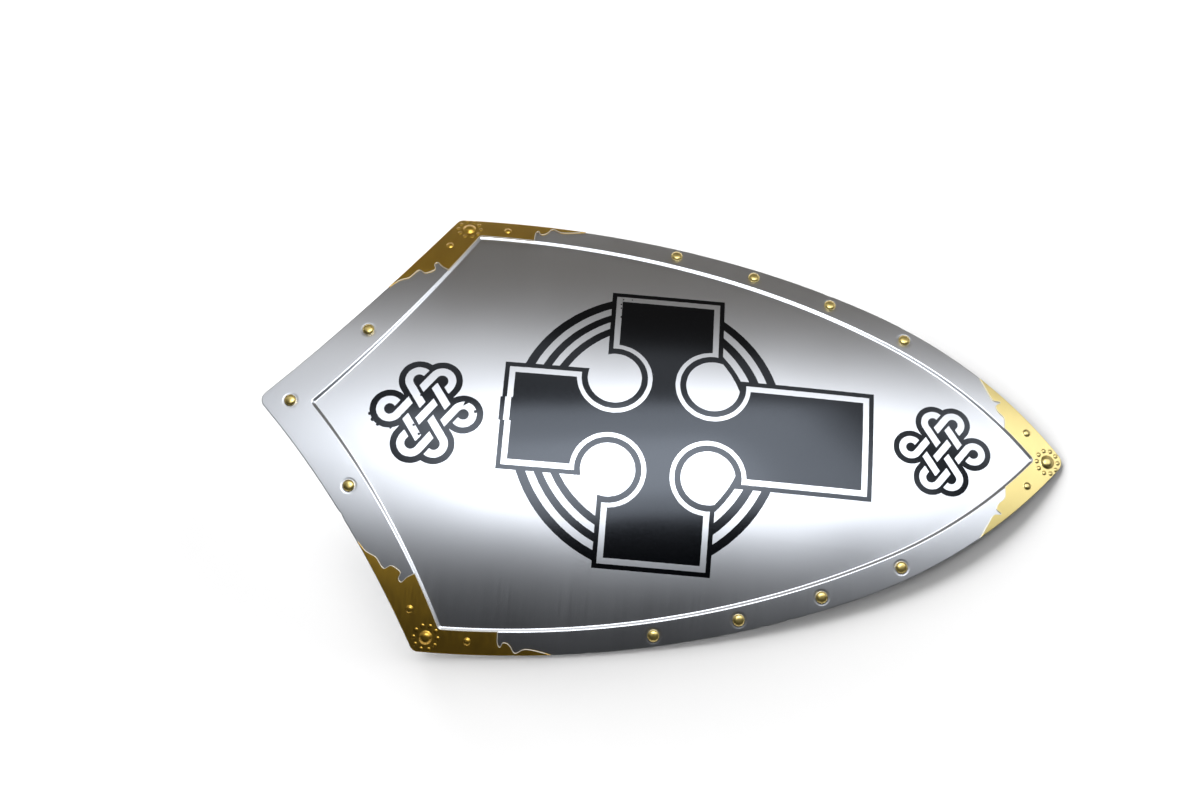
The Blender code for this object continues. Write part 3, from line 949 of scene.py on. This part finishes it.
def raised(points, bosses):
    """How high the pressed bosses, as (place, radius, height), stand at each point."""
    height = np.zeros(points.shape)
    for place, radius, rise in bosses:
        away = np.clip(np.abs(points - place) / radius, 0, 1)
        height = np.maximum(height, rise * (1 - away**BOSS_FLATNESS) ** BOSS_FOOT)
    return height


def make_brass_plate(name, node, outline, bosses, materials):
    outline = divided(outline, BRASS_EDGE_SPACING)
    level = BORDER_RISE + GAP + BRASS_THICKNESS

    def front(points):
        away = distance_to(points, outline)
        inset = np.where(is_inside(points, [outline]), away, -away)
        fall = rounded(inset, BRASS_ROUNDING, BRASS_EDGE_FALL)
        return bend(points, level + raised(points, bosses) + unevenness(points) - fall)

    def back(points):
        return bend(points, BORDER_RISE + unevenness(points) + raised(points, bosses))

    # Faces along the plate's outline, away from the shield's rim, take the painted highlight
    def is_painted_highlight(middles):
        near = distance_to(middles, outline) < HIGHLIGHT_REACH
        return (near & (OUTER.offset_of(middles) < -HIGHLIGHT_FREE_RIM)).astype(np.int32)

    rings = []
    for place, radius, _ in bosses:
        rings.append(np.array([place]))
        rings += [circle(place, share * radius, BOSS_TURNS) for share in BOSS_RINGS]
    rings = np.concatenate(rings)
    clear = distance_to(rings, outline) > BOSS_CLEARANCE
    rings = rings[is_inside(rings, [outline]) & clear]
    laid = np.concatenate([outline, rings])
    grid = away_from(staggered_grid(outline, BRASS_SPACING), laid, BRASS_SPACING * BRASS_CLEARANCE)
    points = np.concatenate((rings, grid))
    rounding = [inset_loop(outline, BRASS_ROUNDING * share) for share in EDGE_LINES]
    edges = np.concatenate([sides_of(loop) for loop in rounding])
    piece = cut_sheet(
        name,
        ([outline], [], edges, points),
        ([outline], [], NO_PIECES, points),
        front,
        back,
        is_painted_highlight,
        materials,
    )
    stand_for(piece, node)


def inset_loop(loop, inset):
    """The loop that runs to the left, moved in by a small distance."""
    ahead, behind = np.roll(loop, -1) - loop, loop - np.roll(loop, 1)
    ahead, behind = ahead / np.abs(ahead), behind / np.abs(behind)
    inwards = 1j * (ahead + behind)
    return loop + inset * inwards / np.abs(inwards)


def bosses_round(dome, ring, dot, outline, small):
    """A dome, the dots round it that have room on the plate, and the small bosses."""
    turns = circle(0, 1, DOT_COUNT)
    bosses = [(dome, *DOME)]
    for place in dome + ring[0] * turns.real + 1j * ring[1] * turns.imag:
        if is_inside(circle(place, dot[0], ROOM_TURNS), [outline]).all():
            bosses.append((place, *dot))
    return bosses + [(place, *SMALL_BOSS) for place in small]


# The corner plates take the brass with painted shade, and the tip plate the brass with painted
# highlight
def make_brass_plates(corner_shaded_brass, tip_highlit_brass, edge_highlight_paint):
    side_end = torn_end(STEP.side_point, TORN_SIDE_END)
    top_end = torn_end(STEP.top_point, TORN_TOP_END)
    outline = brass_outline(top_end, side_end)
    small = [STEP.side_point(*CORNER_SIDE_BOSS), STEP.top_point(*CORNER_TOP_BOSS)]
    bosses = bosses_round(STEP.corner_point + CORNER_DOME, CORNER_RING, CORNER_DOT, outline, small)
    materials = (corner_shaded_brass, edge_highlight_paint)
    make_brass_plate("brass_corner_left", "corner_plate_left", outline, bosses, materials)
    outline = outline[::-1].conj()
    bosses = [(place.conjugate(), radius, height) for place, radius, height in bosses]
    make_brass_plate("brass_corner_right", "corner_plate_right", outline, bosses, materials)
    tip_end = torn_end(STEP.tip_side_point, TORN_TIP_END)
    outline = brass_outline(tip_end, tip_end.conj())
    boss = STEP.tip_side_point(*TIP_SIDE_BOSS)
    small = [boss, boss.conjugate()]
    bosses = bosses_round(STEP.tip_point + TIP_DOME, TIP_RING, TIP_DOT, outline, small)
    make_brass_plate("brass_tip", "tip_plate", outline, bosses, (tip_highlit_brass, edge_highlight_paint))


# The rivets
def rivet_mesh(material):
    """One rivet, turned about Z, with the plate's outer face one gap below the origin."""
    profile = []
    for k in range(RIVET_DOME_STEPS + 1):
        angle = math.pi / 2 * k / RIVET_DOME_STEPS
        rise = (RIVET_HEAD_HEIGHT - RIVET_HEAD_RIM) * math.cos(angle)
        share = math.sin(angle) ** (2 / RIVET_FLATNESS)
        profile.append((RIVET_HEAD_RADIUS * share, RIVET_HEAD_RIM + rise))
    seat = -GAP - SEAT_DEPTH
    tail_top = -(STEEL_THICKNESS + 2 * GAP)
    tail_end = tail_top - RIVET_TAIL_HEIGHT
    profile += [
        (RIVET_HEAD_RADIUS, 0.0),
        (RIVET_HEAD_RADIUS - RIVET_BEVEL, seat),
        (RIVET_SHANK_RADIUS, seat),
        (RIVET_SHANK_RADIUS, tail_top),
        (RIVET_TAIL_RADIUS, tail_top),
        (RIVET_TAIL_RADIUS, tail_end + RIVET_BEVEL),
        (RIVET_TAIL_RADIUS - RIVET_BEVEL, tail_end),
        (0.0, tail_end),
    ]
    turns = np.exp(1j * math.tau * np.arange(RIVET_TURNS) / RIVET_TURNS)
    vertices = [(0.0, 0.0, profile[0][1])]
    for radius, height in profile[1:-1]:
        vertices += [(radius * turn.real, radius * turn.imag, height) for turn in turns]
    vertices.append((0.0, 0.0, profile[-1][1]))
    faces = []
    last = len(vertices) - 1
    for k in range(RIVET_TURNS):
        after = (k + 1) % RIVET_TURNS
        faces.append((0, 1 + k, 1 + after))
        for ring in range(len(profile) - 3):
            low, high = 1 + (ring + 1) * RIVET_TURNS, 1 + ring * RIVET_TURNS
            faces.append((high + k, low + k, low + after, high + after))
        low = 1 + (len(profile) - 3) * RIVET_TURNS
        faces.append((low + k, last, low + after))
    mesh = bpy.data.meshes.new("round_rivet")
    mesh.from_pydata(vertices, [], faces)
    mesh.shade_smooth()
    mesh.set_sharp_from_angle(angle=RIVET_SHARP)
    mesh.materials.append(material)
    return mesh


def add_rivets(brass):
    mesh = rivet_mesh(brass)
    for node, place in rivet_places().items():
        point = np.array([place])
        level = BORDER_RISE + GAP + unevenness(point)
        square = Vector(facing(lambda p: bend(p, BORDER_RISE), point)[0])
        rivet = add_piece("round_" + node, mesh)
        turn = Vector((0, 0, 1)).rotation_difference(square).to_matrix().to_4x4()
        rivet.matrix_world = Matrix.Translation(bend(point, level)[0]) @ turn
        stand_for(rivet, node)


# Floor, light and camera
def make_floor():
    """The plain pale floor, which isn't part of the shield."""
    mesh = bpy.data.meshes.new("floor")
    signs = ((-1, -1), (1, -1), (1, 1), (-1, 1))
    corners = [(FLOOR_REACH * x, FLOOR_REACH * y, 0) for x, y in signs]
    mesh.from_pydata(corners, [], [(0, 1, 2, 3)])
    material, _ = make_material("pale floor", [FLOOR_PALE] * 3, metallic=0.0, roughness=0.9)
    mesh.materials.append(material)
    floor = add_piece("floor", mesh)
    return floor


def make_world():
    """A dark room with a pale band overhead, towards +Y. The camera sees all of it as white."""
    world = bpy.data.worlds.new("studio")
    bpy.context.scene.world = world
    world.use_nodes = True
    world.node_tree.nodes.clear()
    way = add_node(world, "TexCoord").outputs["Generated"]
    parts = add_node(world, "SeparateXYZ", {0: way}).outputs
    tilt = add_node(world, "Math", {0: parts["Y"], 1: parts["Z"]}, operation="ARCTAN2").outputs[0]
    limits = {"From Min": -math.pi / 2, "From Max": math.pi / 2}
    share = add_node(world, "MapRange", {"Value": tilt, **limits}).outputs[0]
    ramp = add_node(world, "ValToRGB", {0: share})
    ramp.color_ramp.interpolation = "EASE"
    stops = ramp.color_ramp.elements
    for degrees, _ in ROOM_COLOURS[2:]:
        stops.new((degrees + 90) / 180)
    for stop, (degrees, colour) in zip(stops, ROOM_COLOURS):
        stop.position, stop.color = (degrees + 90) / 180, (*colour, 1.0)
    room = add_node(world, "Background", {"Color": ramp.outputs[0]}).outputs[0]
    white = add_node(world, "Background", {"Color": (1.0, 1.0, 1.0, 1.0)}).outputs[0]
    seen = add_node(world, "LightPath").outputs["Is Camera Ray"]
    both = add_node(world, "MixShader", {0: seen, 1: room, 2: white}).outputs[0]
    add_node(world, "OutputWorld", {"Surface": both})


def linked(name, pieces):
    """A collection, outside the scene, of the pieces that a light reaches or that shade it."""
    collection = bpy.data.collections.new(name)
    for piece in pieces:
        collection.objects.link(piece)
    return collection


def add_light(name, kind, lit, **values):
    """A light that reaches only the given pieces, and that the camera doesn't see."""
    light = bpy.data.lights.new(name, kind)
    for key, value in values.items():
        setattr(light, key, value)
    lamp = bpy.data.objects.new(name, light)
    bpy.context.scene.collection.objects.link(lamp)
    lamp.visible_camera = False
    lamp.light_linking.receiver_collection = linked("lit by " + name, lit)
    return lamp


def light_scene(floor, plate, pieces):
    for place, (width, depth), brightness in SOFTBOXES:
        energy = brightness * math.pi * width * depth
        form = {"shape": "RECTANGLE", "size": width, "size_y": depth}
        softbox = add_light("softbox", "AREA", pieces, energy=energy, color=SOFTBOX_COLOUR, **form)
        softbox.location = place
        softbox.rotation_euler = (0, 0, SOFTBOX_TURN)
    for turn, rise, brightness in FLOOR_LIGHTS:
        turn, rise = math.radians(turn), math.radians(rise)
        energy = brightness * math.pi / (FLOOR_PALE * math.sin(rise))
        sun = add_light("floor light", "SUN", [floor], energy=energy, angle=FLOOR_LIGHT_WIDTH)
        sun.location = (math.cos(turn), math.sin(turn), math.tan(rise))
        sun.rotation_euler = (-sun.location).to_track_quat("-Z", "Y").to_euler()
        sun.light_linking.blocker_collection = linked("shades the floor", [plate])


def add_camera():
    camera = bpy.data.cameras.new("camera")
    camera.lens, camera.sensor_width = CAMERA_LENS, SENSOR_WIDTH
    eye = bpy.data.objects.new("camera", camera)
    bpy.context.scene.collection.objects.link(eye)
    eye.location = CAMERA_PLACE
    eye.rotation_euler = [math.radians(turn) for turn in CAMERA_TURN]
    bpy.context.scene.camera = eye


plate = make_plate(make_steel(), make_ink())
# The painted highlight along the brass plates' edges
edge_highlight_paint, _ = make_material("painted edge highlight", EDGE_HIGHLIGHT_PAINT, metallic=0.35, roughness=0.45)
# Two copies of one brass: darker for the corner plates as painted shade, paler for the tip plate
# as painted highlight
corner_shaded_brass = make_brass("brass with painted shade", *CORNER_SHADED_BRASS)
tip_highlit_brass = make_brass("brass with painted highlight", *TIP_HIGHLIT_BRASS)
make_brass_plates(corner_shaded_brass, tip_highlit_brass, edge_highlight_paint)
add_rivets(make_brass("rivet brass", *RIVET_BRASS))
pieces = [piece for piece in bpy.data.objects if "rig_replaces" in piece]
floor = make_floor()
make_world()
light_scene(floor, plate, pieces)
add_camera()
bpy.context.scene.view_settings.view_transform = "Standard"
